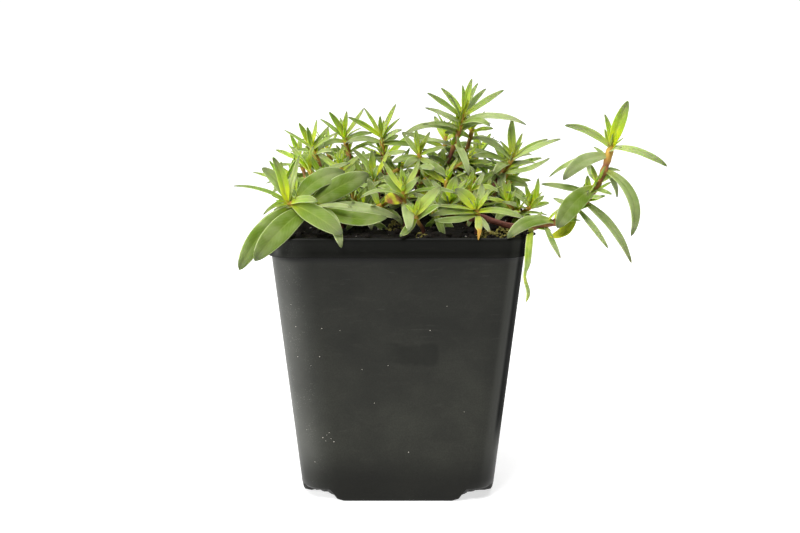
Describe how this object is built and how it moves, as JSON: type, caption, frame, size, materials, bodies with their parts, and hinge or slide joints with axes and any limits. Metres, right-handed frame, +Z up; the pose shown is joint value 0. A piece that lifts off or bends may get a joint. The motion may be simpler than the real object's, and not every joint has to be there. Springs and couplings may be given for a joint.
{
  "type": "potted creeping gypsophila",
  "caption": "Young creeping gypsophila: leafy stems in a square black nursery pot of soil, with a long shoot trailing over the rim.",
  "frame": {"origin": "middle of the pot's flat foot, on the surface it stands on", "axes": "+Z up, -Y towards the front seen in the picture, +X to the right, where the long shoot trails over the rim"},
  "size_m": [0.1451, 0.0996, 0.141],
  "materials": {
    "pot_plastic": "satin black polypropylene with faint scuffs and white dust specks",
    "soil": "dark brown peat with pale grit and a little moss",
    "foliage": "soft matte green leaves, yellow-green at the tips, on reddish brown stems"
  },
  "bodies": {
    "root": {"pot": "pot_plastic", "soil": "soil", "leafy_stem_back": "foliage", "leafy_stem_back_left": "foliage", "leafy_stem_back_right": "foliage", "leafy_stem_centre": "foliage", "leafy_stem_centre_front": "foliage", "leafy_stem_centre_low": "foliage", "leafy_stem_centre_right": "foliage", "leafy_stem_corner_back_left": "foliage", "leafy_stem_corner_back_right": "foliage", "leafy_stem_front_left": "foliage", "leafy_stem_front_left_inner": "foliage", "leafy_stem_front_low": "foliage", "leafy_stem_front_middle": "foliage", "leafy_stem_front_right": "foliage", "leafy_stem_front_right_inner": "foliage", "leafy_stem_left": "foliage", "leafy_stem_left_back": "foliage", "leafy_stem_left_edge": "foliage", "leafy_stem_left_low": "foliage", "leafy_stem_left_middle": "foliage", "leafy_stem_left_rear": "foliage", "leafy_stem_middle": "foliage", "leafy_stem_right": "foliage", "leafy_stem_right_edge": "foliage", "leafy_stem_right_rear": "foliage", "leafy_stem_second_tallest": "foliage", "leafy_stem_tallest": "foliage", "leafy_stem_trailing_right": "foliage"}
  },
  "joints": []
}
